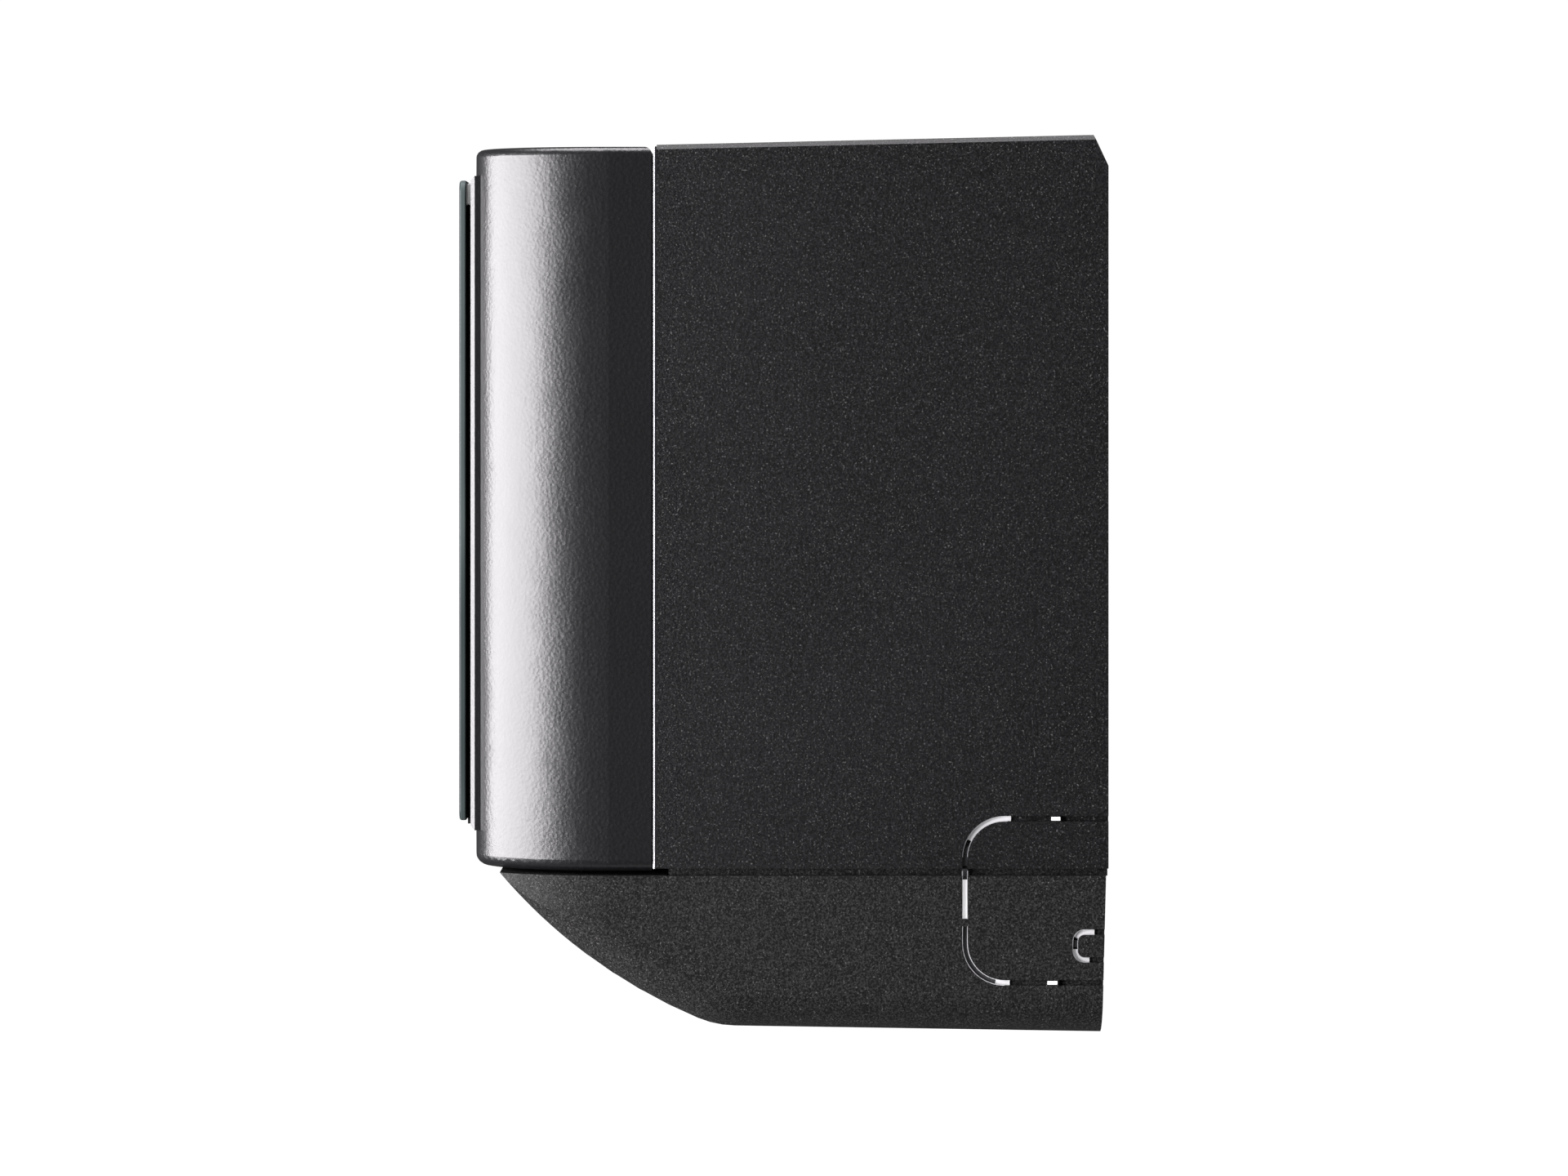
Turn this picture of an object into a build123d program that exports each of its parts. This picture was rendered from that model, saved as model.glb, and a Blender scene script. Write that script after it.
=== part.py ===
from build123d import *
from math import atan2, cos, degrees, radians, sin, tan
import os

os.makedirs("parts", exist_ok=True)

# A wall-mounted indoor unit of a split air conditioner, in millimetres. Y is 0 at the wall and
# runs negative towards the room, X runs along the wall, and the origin is the middle of the wall
# screws. Heights called h below start at the casing's lowest edge, and side() turns them into Z.

# Casing
width = 870.0
mid_height = 147.5
wall = 2.5
half = width / 2

cabinet_front = 147.9
cabinet_bottom = 54.7
roof_front_h = 291.6
roof_slope = 1.3
rear_chamfer_y = 4.8
rear_chamfer_h = 10.2
roof_edge_bevel = 1.6

# Front panel, a hinged shell with elliptical corners in plan
panel_rear = 149.5
panel_front = 208.6
# The lower shell keeps its own outline, which stands just proud of the panel
shell_front = 209.1
panel_low = 53.6
panel_high = 291.0
corner_x = 28.0
corner_y = 45.0
rim_round = 2.6
lower_rim_round = 3.8
panel_top_wall = 3.0
pad_rise = 1.5
pad_low = 65.4
pad_high = 282.2
pad_half = 415.0
tape_half = 400.0
tape_thick = 1.8
tape_wide = 12.0
tape_low = 66.3
tape_high = 273.0
glass_thick = 2.4
glass_low = 67.8
glass_high = 281.1
glass_half = 408.0

# The front panel turns about the centre of its own rounded rear top edge
hinge_y = -(panel_rear + rim_round)
hinge_h = panel_high - rim_round
hinge_pin_r = 1.4
hinge_x = 392.0
eye_width = 8.0

# Neck of the cabinet, which the closed front panel covers
neck_half = 404.0
neck_front = 198.0
neck_low = 63.0
neck_high = 284.5
button_x, button_h = 140.0, 84.0

# Inner length of the machine: the right end holds the motor and the electrics
bay_left = -393.5
bay_right = 303.0
duct_left = -382.0
duct_right = 292.0

# Cross-flow fan
fan_y, fan_h, fan_r = -100.0, 120.0, 48.0
shaft_r = 4.0
shaft_gap = 0.05

# Lower shell: the chin is an arc that ends in a softer heel
chin_top = (-199.9, 52.3)
chin_mid = (-171.0, 25.2)
chin_end = (-134.5, 4.4)
heel_end = (-122.3, 1.89)
shell_top = 52.3
edge_round = 12.0

# Outlet louver and its pivot
louver_y, louver_h = -152.0, 22.0
louver_pin_r = 3.0
louver_thick = 3.0
outlet_gap = 0.7

# Air guides in the outlet duct: u runs upstream along the rear guide, v stands up from it
guide_bend = (-78.0, 60.0)
guide_end = (-137.5, 12.8)
vane_count = 6
vane_pitch = 54.0
vane_starts = {"left": -342.0, "right": -18.0}
vane_thick = 1.6
vane_pivot_u = 33.0
vane_link_u = 20.0
vane_pin_r = 2.0
link_pin_r = 1.3
running_gap = 0.07

# Drain hose: the slot it passes through in the neck and the deck, and its line
hose_bay = (320.0, 348.0)
hose_x, hose_y, hose_r = 334.0, -34.0, 8.0

# Casing screws in the flat bottom
casing_screw_xs = (-300.0, -45.0, 210.0)
casing_screw_y = -112.0
screw_seat_h = 3.0
screw_r = 1.8

# Wall plate
plate_thick = 1.2
screw_pitch_x = 600.0
screw_pitch_z = 150.0
wall_screw_hole_r = 2.6


def side(y, h):
    return (y, h - mid_height)


def at(x, y, h):
    return (x, y, h - mid_height)


def roof_h(y):
    return roof_front_h + (y + cabinet_front) * tan(radians(roof_slope))


def save(piece, name):
    piece.part.label = name
    export_step(piece.part, f"parts/{name}.step")


def slab(x0, x1, y0, y1, h0, h1):
    # A box given by its extents
    with BuildPart() as box:
        with Locations(at((x0 + x1) / 2, (y0 + y1) / 2, (h0 + h1) / 2)):
            Box(x1 - x0, y1 - y0, h1 - h0)
    return box.part


def rod(x0, x1, y, h, radius):
    # A round bar along X
    with BuildPart() as bar:
        with BuildSketch(Plane.YZ.offset(x0)):
            with Locations(side(y, h)):
                Circle(radius)
        extrude(amount=x1 - x0)
    return bar.part


def plan_outline(inset, rear, face=panel_front):
    # The casing seen from above, with an elliptical corner at each front end
    reach = half - inset
    front = face - inset
    rx, ry = corner_x - inset, corner_y - inset
    with BuildSketch() as plan:
        with BuildLine():
            right = EllipticalCenterArc((reach - rx, ry - front), rx, ry, 270, arc_size=90)
            left = EllipticalCenterArc((rx - reach, ry - front), rx, ry, 180, arc_size=90)
            Line(left @ 1, right @ 0)
            Polyline(right @ 1, (reach, -rear), (-reach, -rear), left @ 0)
        make_face()
    return plan.sketch


# ------------------------------------------------------------------ front panel and fascia

with BuildPart() as front_panel:
    with BuildSketch(Plane.XY.offset(panel_low - mid_height)):
        add(plan_outline(0, panel_rear))
    extrude(amount=panel_high - panel_low)
    fillet(front_panel.faces().sort_by(Axis.Z)[-1].edges(), radius=rim_round)
    lower_rim = front_panel.faces().sort_by(Axis.Z)[0].edges().sort_by(Axis.Y)[:-1]
    fillet(lower_rim, radius=lower_rim_round)
    with BuildSketch(Plane.XZ.offset(panel_front - 4)):
        with Locations(side(0, (pad_low + pad_high) / 2)):
            Rectangle(2 * pad_half, pad_high - pad_low)
    extrude(amount=pad_rise + 4)
    chamfer(front_panel.faces().sort_by(Axis.Y)[0].edges(), length=pad_rise - 0.1)
    with BuildSketch(Plane.XY.offset(panel_low + wall - mid_height)):
        add(plan_outline(wall, panel_rear - 5))
    extrude(amount=panel_high - panel_top_wall - panel_low - wall, mode=Mode.SUBTRACT)
    # The floor is only a lip, so that the outlet duct passes behind it
    add(slab(-400, 400, -196, -140, panel_low - 1, panel_low + wall + 1), mode=Mode.SUBTRACT)
    for end in (-1, 1):
        add(rod(end * hinge_x - 13, end * hinge_x + 13, hinge_y, hinge_h, rim_round))
    for end in (-1, 1):
        notch = slab(end * hinge_x - eye_width / 2 - 1.5, end * hinge_x + eye_width / 2 + 1.5,
                     hinge_y - 6, hinge_y + 6, hinge_h - 6, hinge_h + 6)
        add(notch, mode=Mode.SUBTRACT)
        add(rod(end * hinge_x - 11, end * hinge_x + 11, hinge_y, hinge_h, hinge_pin_r),
            mode=Mode.SUBTRACT)
save(front_panel, "front_panel")

with BuildPart() as hinge_pins:
    for end in (-1, 1):
        add(rod(end * hinge_x - 10.8, end * hinge_x + 10.8, hinge_y, hinge_h, hinge_pin_r))
save(hinge_pins, "hinge_pins")

with BuildPart() as fascia_tape:
    with BuildSketch(Plane.XZ.offset(panel_front + pad_rise)):
        with Locations(side(0, (tape_low + tape_high) / 2)):
            Rectangle(2 * tape_half, tape_high - tape_low)
            Rectangle(2 * tape_half - 2 * tape_wide, tape_high - tape_low - 2 * tape_wide,
                      mode=Mode.SUBTRACT)
    extrude(amount=tape_thick)
save(fascia_tape, "fascia_tape")

with BuildPart() as glass_fascia:
    with BuildSketch(Plane.XZ.offset(panel_front + pad_rise + tape_thick)):
        with Locations(side(0, (glass_low + glass_high) / 2)):
            RectangleRounded(2 * glass_half, glass_high - glass_low, 4)
    extrude(amount=glass_thick)
    fillet(glass_fascia.faces().sort_by(Axis.Y)[0].edges(), radius=0.8)
    fillet(glass_fascia.faces().sort_by(Axis.Y)[-1].edges(), radius=0.7)
save(glass_fascia, "glass_fascia")

# ------------------------------------------------------------------ knock-outs in the end walls

knock_depth = 1.5
knock_width = 1.8


def knock_outline(left, low, high, radius, bridges):
    # A groove round a rounded corner plate that is open towards the wall, broken by bridges
    long = 60.0
    middle = (low + high) / 2
    with BuildSketch() as groove:
        for grow, mode in ((knock_width / 2, Mode.ADD), (-knock_width / 2, Mode.SUBTRACT)):
            with Locations(side(left - grow + long, middle)):
                RectangleRounded(2 * long, high - low + 2 * grow, radius + grow, mode=mode)
        for y, h, size_y, size_h in bridges:
            with Locations(side(y, h)):
                Rectangle(size_y, size_h, mode=Mode.SUBTRACT)
    return groove.sketch


pipe_knock = knock_outline(-47.0, 17.3, 71.0, 12.9,
                           [(-17.3, 71.0, 3.5, 4), (-18.4, 17.3, 4, 4), (-47.0, 37.0, 4, 2.4)])
cable_knock = knock_outline(-10.9, 24.8, 33.9, 3.0, [])


def end_grooves(outlines):
    # Grooves in the outer faces of both end walls
    with BuildPart() as cut:
        for end in (-1, 1):
            with BuildSketch(Plane.YZ.offset(end * half)):
                for outline in outlines:
                    add(outline)
            extrude(amount=-end * knock_depth)
    return cut.part


# ------------------------------------------------------------------ cabinet

filter_length = 334.0
filter_y0, filter_y1 = -138.0, -22.0
filter_lefts = {"left": -386.0, "right": -38.0}
window_rim = 2.0
slat_low, slat_high = 282.0, 285.0
slat_count = 12

with BuildPart() as cabinet:
    with BuildSketch(Plane.YZ):
        with BuildLine():
            Polyline(side(0, cabinet_bottom), side(0, roof_h(-rear_chamfer_y) - rear_chamfer_h),
                     side(-rear_chamfer_y, roof_h(-rear_chamfer_y)), side(-cabinet_front, roof_front_h),
                     side(-cabinet_front, cabinet_bottom), close=True)
        make_face()
    extrude(amount=half, both=True)
    roof_edges = cabinet.faces().sort_by(Axis.Z)[-1].edges().filter_by(Axis.X, reverse=True)
    chamfer(roof_edges, length=roof_edge_bevel)
    with BuildSketch(Plane.YZ):
        with BuildLine():
            Polyline(side(1, cabinet_bottom - 1), side(1, roof_h(0) - rear_chamfer_h - 5),
                     side(-rear_chamfer_y - 2, roof_h(-rear_chamfer_y) - wall - 1),
                     side(wall - cabinet_front, roof_front_h - wall),
                     side(wall - cabinet_front, cabinet_bottom - 1), close=True)
        make_face()
    extrude(amount=half - wall, both=True, mode=Mode.SUBTRACT)
    # Neck towards the room, open to the coil in front and to the outlet duct below
    add(slab(-neck_half, neck_half, -neck_front, -cabinet_front + wall, neck_low, neck_high))
    add(slab(wall - neck_half, neck_half - wall, wall - neck_front, 1 - cabinet_front + wall,
             neck_low + wall, neck_high - wall), mode=Mode.SUBTRACT)
    add(slab(bay_left + 4, bay_right - 4, -neck_front - 1, -neck_front + wall + 1, 102, 272),
        mode=Mode.SUBTRACT)
    add(slab(duct_left - 5, duct_right + 5, -193.5, 1 - cabinet_front + wall, neck_low - 10,
             neck_low + wall + 1), mode=Mode.SUBTRACT)
    add(slab(*hose_bay, -187, -143, neck_low - 15, neck_low + wall + 1), mode=Mode.SUBTRACT)
    # Button hole in the foot of the neck
    with BuildSketch(Plane.XZ.offset(neck_front + 1)):
        with Locations(side(button_x, button_h)):
            Circle(5.1)
    extrude(amount=-wall - 2, mode=Mode.SUBTRACT)
    # Intake windows in the roof, each a rimmed well with slats at its foot
    for left in filter_lefts.values():
        x0, x1 = left - 1, left + filter_length + 1
        y0, y1 = filter_y0 - 1, filter_y1 + 1
        add(slab(x0 - window_rim, x1 + window_rim, y0 - window_rim, y1 + window_rim, slat_low, 290.5))
        add(slab(x0, x1, y0, y1, slat_low - 1, 300), mode=Mode.SUBTRACT)
        pitch = (x1 - x0) / (slat_count + 1)
        for number in range(1, slat_count + 1):
            x = x0 + number * pitch
            add(slab(x - 1, x + 1, y0 - 1, y1 + 1, slat_low, slat_high))
        add(slab(x0 - 1, x1 + 1, -81, -79, slat_low, slat_high))
    add(end_grooves([pipe_knock]), mode=Mode.SUBTRACT)
save(cabinet, "cabinet")

with BuildPart() as trim_strips:
    for end in (-1, 1):
        x0, x1 = sorted((end * half, end * (half - 5)))
        add(slab(x0, x1, -panel_rear + 0.4, -cabinet_front, panel_low + 1.1, panel_high))
save(trim_strips, "trim_strips")

with BuildPart() as hinge_eyes:
    for end in (-1, 1):
        x0 = end * hinge_x - eye_width / 2
        x1 = x0 + eye_width
        add(slab(x0, x1, hinge_y - 1.8, hinge_y + 1.8, neck_high, hinge_h))
        add(rod(x0, x1, hinge_y, hinge_h, rim_round - 0.1))
        add(rod(x0 - 1, x1 + 1, hinge_y, hinge_h, hinge_pin_r + shaft_gap), mode=Mode.SUBTRACT)
save(hinge_eyes, "hinge_eyes")

for name, left in filter_lefts.items():
    with BuildPart() as filter_frame:
        with BuildSketch(Plane.XY.offset(slat_high + 0.3 - mid_height)):
            with Locations((left + filter_length / 2, (filter_y0 + filter_y1) / 2)):
                Rectangle(filter_length, filter_y1 - filter_y0)
                with GridLocations((filter_length - 10) / 6 + 0.5, (filter_y1 - filter_y0 - 10) / 2 + 1,
                                   6, 2):
                    Rectangle((filter_length - 10) / 6 - 2.5, (filter_y1 - filter_y0 - 10) / 2 - 2,
                              mode=Mode.SUBTRACT)
        extrude(amount=3.5)
        grip = slab(left + filter_length / 2 - 14, left + filter_length / 2 + 14,
                    filter_y0, filter_y0 + 4, slat_high + 3, slat_high + 5.5)
        add(grip)
    save(filter_frame, f"filter_{name}")

# ------------------------------------------------------------------ lower shell and louver

chin_arc = ThreePointArc(side(*chin_top), side(*chin_mid), side(*chin_end))
chin_r = chin_arc.radius
chin_centre = chin_arc.arc_center


def chin_angle(y, h):
    # The direction of a point from the chin's centre, in degrees
    return degrees(atan2(h - mid_height - chin_centre.Y, y - chin_centre.X))


def chin_band(inner_r, outer_r, start, stop):
    # Part of a ring about the chin's centre
    def spot(radius, angle):
        return (chin_centre.X + radius * cos(radians(angle)), chin_centre.Y + radius * sin(radians(angle)))

    middle = (start + stop) / 2
    with BuildSketch() as band:
        with BuildLine():
            ThreePointArc(spot(outer_r, start), spot(outer_r, middle), spot(outer_r, stop))
            Line(spot(outer_r, stop), spot(inner_r, stop))
            ThreePointArc(spot(inner_r, stop), spot(inner_r, middle), spot(inner_r, start))
            Line(spot(inner_r, start), spot(outer_r, start))
        make_face()
    return band.sketch


lip_top = chin_angle(-193.5, 45.4)
lip_low = chin_angle(-142.0, 8.0)
gap_angle = degrees(outlet_gap / chin_r)


def shell_body(inset):
    # The lower shell's outer form, or the space inside it
    with BuildPart() as body:
        with BuildSketch(Plane.YZ):
            with BuildLine():
                chin = ThreePointArc(side(*chin_top), side(*chin_mid), side(*chin_end))
                heel = TangentArc(chin @ 1, side(*heel_end), tangent=chin % 1)
                Polyline(heel @ 1, side(-2.1, 0), side(-0.8, shell_top), chin @ 0)
            make_face()
            if inset:
                offset(amount=-inset)
        extrude(amount=half - inset, both=True)
        rim = body.faces().filter_by(Plane.YZ).edges()
        below = [edge for edge in rim
                 if edge.center().Z < shell_top - inset - mid_height - 1 and edge.center().Y < -10]
        fillet(below, radius=edge_round - inset)
        with BuildSketch(Plane.XY.offset(-mid_height - 5)):
            add(plan_outline(inset, -5, shell_front))
        extrude(amount=100, mode=Mode.INTERSECT)
    return body.part


with BuildPart() as lower_shell:
    add(shell_body(0))
    add(shell_body(wall), mode=Mode.SUBTRACT)
    # Open towards the cabinet and the wall, and round the outlet duct
    add(slab(wall - half, half - wall, -145, 2, 46, 60), mode=Mode.SUBTRACT)
    add(slab(wall - half, half - wall, -8, 2, 8, 60), mode=Mode.SUBTRACT)
    add(slab(duct_left - 5, duct_right + 5, -192.5, -140, 40, 60), mode=Mode.SUBTRACT)
    add(slab(*hose_bay, -187, -140, 40, 60), mode=Mode.SUBTRACT)
    with BuildSketch(Plane.YZ.offset(duct_left + outlet_gap)):
        add(chin_band(chin_r - 14, chin_r + 14, lip_top, lip_low))
    extrude(amount=duct_right - duct_left - 2 * outlet_gap, mode=Mode.SUBTRACT)
    # Tongue behind the seam at each end
    for end in (-1, 1):
        x0, x1 = sorted((end * (half - wall - 1.8), end * (half - wall + 0.1)))
        add(slab(x0, x1, -144, -1.1, 42, shell_top))
        x0, x1 = sorted((end * (half - wall - 1.8), end * (half - wall - 0.3)))
        add(slab(x0, x1, -144, -1.1, shell_top - 1, 59))
        add(slab(x0, x1, -1.2, -0.2, shell_top - 0.2, 59))
    add(end_grooves([pipe_knock, cable_knock]), mode=Mode.SUBTRACT)
    # Counterbored screw holes in the flat bottom
    for x in casing_screw_xs:
        for radius, top in ((4.2, screw_seat_h), (2.2, 10)):
            with BuildSketch(Plane.XY.offset(top - mid_height)):
                with Locations((x, casing_screw_y)):
                    Circle(radius)
            extrude(amount=-15, mode=Mode.SUBTRACT)
save(lower_shell, "lower_shell")

louver_ends = (duct_left + 2, duct_right - 2)

with BuildPart() as louver:
    with BuildSketch(Plane.YZ.offset(louver_ends[0])):
        add(chin_band(chin_r - louver_thick - 0.2, chin_r - 0.2, lip_top + gap_angle, lip_low - gap_angle))
    extrude(amount=louver_ends[1] - louver_ends[0])
    # Arms carry the plate on its pivot
    for x in (louver_ends[0], louver_ends[0] + 222, louver_ends[1] - 225, louver_ends[1] - 3):
        with BuildSketch(Plane.YZ.offset(x)):
            with BuildLine():
                Polyline(side(louver_y - 22, louver_h + 6), side(louver_y - 4, louver_h + 5),
                         side(louver_y + 3.5, louver_h + 4), side(louver_y + 5, louver_h - 2),
                         side(louver_y + 3, louver_h - 9), side(louver_y - 18, louver_h + 2), close=True)
            make_face()
        extrude(amount=3)
        add(rod(x, x + 3, louver_y, louver_h, 5.5))
    add(rod(louver_ends[0] - 9, louver_ends[0] + 1, louver_y, louver_h, louver_pin_r))
    add(rod(louver_ends[1] - 1, louver_ends[1] + 12, louver_y, louver_h, louver_pin_r))
save(louver, "louver")

# ------------------------------------------------------------------ outlet duct

run_y, run_h = guide_bend[0] - guide_end[0], guide_bend[1] - guide_end[1]
run = (run_y**2 + run_h**2) ** 0.5
along = (run_y / run, run_h / run)
across = (-along[1], along[0])
guide_thick = 3.0


def duct(u, v):
    # A point of the duct's own grid as (y, h)
    return (guide_end[0] + u * along[0] + v * across[0], guide_end[1] + u * along[1] + v * across[1])


throat = (-149.8, 102.0)
guide_foot = (-190.0, 49.5)

with BuildPart() as outlet_frame:
    with BuildSketch(Plane.YZ.offset(duct_left - wall)):
        with BuildLine():
            Polyline(side(*throat), side(*guide_foot), side(guide_foot[0] - 1.9, guide_foot[1] + 1.6),
                     side(throat[0] - 1.9, throat[1] + 1.6), close=True)
        make_face()
    extrude(amount=duct_right - duct_left + 2 * wall)
    # End walls carry the louver's pins
    for x in (duct_left - wall, duct_right):
        with BuildSketch(Plane.YZ.offset(x)):
            with BuildLine():
                Polyline(side(throat[0] - 1, throat[1] + 1), side(*guide_foot), side(-188, 45.5),
                         side(-176, 35.0), side(-164, 25.5), side(-152, 17.5), side(-143, 13.0),
                         side(*duct(0, 2)), side(*duct(58, 2)), side(*duct(58, 60)), close=True)
            make_face()
            with Locations(side(louver_y, louver_h)):
                Circle(louver_pin_r + running_gap, mode=Mode.SUBTRACT)
        extrude(amount=wall)
save(outlet_frame, "outlet_frame")

with BuildPart() as louver_motor:
    x0 = duct_right + wall
    add(rod(x0, x0 + 4, louver_y, louver_h, 5))
    add(rod(x0 + 3, x0 + 19, louver_y + 7, louver_h + 9, 12))
    add(rod(x0 - 1, x0 + 9, louver_y, louver_h, louver_pin_r + running_gap), mode=Mode.SUBTRACT)
save(louver_motor, "louver_motor")


def duct_plane(x, u, v):
    # A plane square to the vanes' pivots
    y, h = duct(u, v)
    return Plane(origin=at(x, y, h), x_dir=(1, 0, 0), z_dir=(0, across[0], across[1]))


vane_xs = {name: [start + vane_pitch * number for number in range(vane_count)]
           for name, start in vane_starts.items()}

for name, xs in vane_xs.items():
    for number, x in enumerate(xs, start=1):
        with BuildPart() as vane:
            with BuildSketch(Plane.YZ.offset(x - vane_thick / 2)):
                with BuildLine():
                    Polyline(side(*duct(17, 3)), side(*duct(47, 3)), side(*duct(47, 36)),
                             side(*duct(38, 47)), side(*duct(24, 54)), side(*duct(17, 54)), close=True)
                make_face()
            extrude(amount=vane_thick)
            fillet(vane.edges().filter_by(Axis.X), radius=1.5)
            deep = 10 if number == 1 else 1.6
            with BuildSketch(duct_plane(x, vane_pivot_u, -deep)):
                Circle(vane_pin_r)
            extrude(amount=deep + 4)
            with BuildSketch(duct_plane(x, vane_pivot_u, 0.4)):
                Circle(3.5)
            extrude(amount=3.6)
            with BuildSketch(duct_plane(x, vane_link_u, 50)):
                Circle(link_pin_r)
            extrude(amount=10)
        save(vane, f"vane_{name}_{number}")
    with BuildPart() as link_rod:
        with BuildSketch(duct_plane((xs[0] + xs[-1]) / 2, vane_link_u, 55)):
            SlotOverall(xs[-1] - xs[0] + 9, 7)
            with GridLocations(vane_pitch, 1, vane_count, 1):
                Circle(link_pin_r + running_gap, mode=Mode.SUBTRACT)
        extrude(amount=2.5)
    save(link_rod, f"link_rod_{name}")

with BuildPart() as vane_motors:
    for xs in vane_xs.values():
        with BuildSketch(duct_plane(xs[0], vane_pivot_u, -guide_thick - 12)):
            Circle(11)
        extrude(amount=12)
        with BuildSketch(duct_plane(xs[0], vane_pivot_u, -guide_thick)):
            Circle(vane_pin_r + running_gap)
        extrude(amount=-8, mode=Mode.SUBTRACT)
save(vane_motors, "vane_motors")

# ------------------------------------------------------------------ chassis

back_y0, back_y1 = -5.5, -3.0
scroll_tip = (-53.2, 147.0)
scroll_mid = (-48.0, 90.0)
hook_xs = (-250.0, 250.0)
bearing_r = 16.0

with BuildPart() as rear_chassis:
    # Back wall, rear guide of the fan, and the shelves that tie them together
    add(slab(-424, 424, back_y0, back_y1, 73.5, 279))
    with BuildSketch(Plane.YZ.offset(bay_left)):
        with BuildLine():
            scroll = ThreePointArc(side(*scroll_tip), side(*scroll_mid), side(*guide_bend))
            low = duct(0, -guide_thick)
            turn = duct(run, -guide_thick)
            Polyline(scroll @ 1, side(*guide_end), side(*low), side(*turn))
            back = ThreePointArc(side(*turn), side(scroll_mid[0] + 3, scroll_mid[1] - 1),
                                 side(scroll_tip[0] + 3, scroll_tip[1] + 1))
            Line(back @ 1, scroll @ 0)
        make_face()
    extrude(amount=bay_right - bay_left)
    add(slab(bay_left, bay_right, -53, back_y1, 73.5, 76))
    add(slab(bay_left, bay_right, -51.5, back_y1, 144, 146.5))
    # End walls carry the fan's bearing and its shaft
    for x, hole_r in ((bay_left - wall, bearing_r), (bay_right, 12.0)):
        with BuildSketch(Plane.YZ.offset(x)):
            with BuildLine():
                Polyline(side(back_y1, 73.5), side(back_y1, 276), side(-70, 279), side(-128, 279),
                         side(-192, 212), side(-192, 126), side(-152, 112), side(-146, 78),
                         side(-110, 66), side(-70, 62), side(-52, 73.5), close=True)
            make_face()
            with Locations(side(fan_y, fan_h)):
                Circle(hole_r, mode=Mode.SUBTRACT)
        extrude(amount=wall)
    # Pivot holes of the vanes, and slots for the wall plate's hooks
    for xs in vane_xs.values():
        for x in xs:
            with BuildSketch(duct_plane(x, vane_pivot_u, 1)):
                Circle(vane_pin_r + running_gap)
            extrude(amount=-guide_thick - 2, mode=Mode.SUBTRACT)
    for x in hook_xs:
        add(slab(x - 17, x + 17, back_y0 - 1, back_y1 + 1, 257, 265.5), mode=Mode.SUBTRACT)
    # Bosses for the casing screws
    for x in casing_screw_xs:
        for radius, low_h, high_h, mode in ((4.5, 7, 28, Mode.ADD), (screw_r, 6, 20, Mode.SUBTRACT)):
            with BuildSketch(Plane.XY.offset(low_h - mid_height)):
                with Locations((x, casing_screw_y)):
                    Circle(radius)
            extrude(amount=high_h - low_h, mode=mode)
save(rear_chassis, "rear_chassis")

with BuildPart() as mounting_plate:
    with BuildSketch(Plane.XZ):
        with Locations((0, 15)):
            RectangleRounded(700, 210, 8)
        with GridLocations(230, 1, 3, 1):
            with Locations((0, 5)):
                RectangleRounded(150, 90, 6, mode=Mode.SUBTRACT)
        with GridLocations(screw_pitch_x, screw_pitch_z, 2, 2):
            Circle(wall_screw_hole_r, mode=Mode.SUBTRACT)
        with Locations((-335, 15), (335, 15)):
            SlotOverall(30, 6, rotation=90, mode=Mode.SUBTRACT)
    extrude(amount=plate_thick)
    for x in hook_xs:
        add(slab(x - 14, x + 14, -8, -plate_thick + 0.1, 263.8, 265.0))
        add(slab(x - 14, x + 14, -8, -6.8, 263.8, 273.0))
save(mounting_plate, "mounting_plate")

with BuildPart() as casing_screws:
    for x in casing_screw_xs:
        for radius, length in ((3.6, -1.2), (screw_r, 15)):
            with BuildSketch(Plane.XY.offset(screw_seat_h - mid_height)):
                with Locations((x, casing_screw_y)):
                    Circle(radius)
            extrude(amount=length)
save(casing_screws, "casing_screws")

# ------------------------------------------------------------------ coil

coil_left, coil_right = -380.0, 290.0
coil_blocks = {
    "evaporator_front": ((-177.5, 122.0), (-177.5, 187.0)),
    "evaporator_upper": ((-176.0, 200.0), (-118.0, 262.0)),
    "evaporator_rear": ((-42.0, 172.0), (-94.0, 262.0)),
}
coil_thick = 25.0
sheet_thick = 1.5
bend_r = 10.5
tube_r = 3.5


def block_plane(x, low, high):
    # Local X climbs the block's middle line, and the normal is X
    dy, dh = high[0] - low[0], high[1] - low[1]
    return Plane(origin=at(x, (low[0] + high[0]) / 2, (low[1] + high[1]) / 2),
                 x_dir=(0, dy, dh), z_dir=(1, 0, 0))


def block_length(low, high):
    return ((high[0] - low[0]) ** 2 + (high[1] - low[1]) ** 2) ** 0.5


for name, (low, high) in coil_blocks.items():
    with BuildPart() as fins:
        with BuildSketch(block_plane(coil_left, low, high)):
            Rectangle(block_length(low, high), coil_thick)
        extrude(amount=coil_right - coil_left)
    save(fins, name)

with BuildPart() as tube_sheets:
    for low, high in coil_blocks.values():
        for x in (coil_left - sheet_thick, coil_right):
            with BuildSketch(block_plane(x, low, high)):
                Rectangle(block_length(low, high), coil_thick)
            extrude(amount=sheet_thick)
save(tube_sheets, "tube_sheets")

with BuildPart() as coil_bends:
    for low, high in coil_blocks.values():
        pairs = int(block_length(low, high) // (2 * bend_r + 2))
        for x, way in ((coil_left - sheet_thick, -1), (coil_right + sheet_thick, 1)):
            plane = block_plane(x, low, high)
            for row in (-1, 1):
                for pair in range(pairs):
                    middle = (pair - (pairs - 1) / 2) * (2 * bend_r + 2)
                    with BuildSketch(plane):
                        with Locations((middle + bend_r / 2, row * 6)):
                            Circle(tube_r)
                    hinge = Axis(plane.from_local_coords(Vector(middle, row * 6, 0)),
                                 plane.y_dir)
                    revolve(axis=hinge, revolution_arc=-180 * way)
save(coil_bends, "coil_bends")

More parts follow.
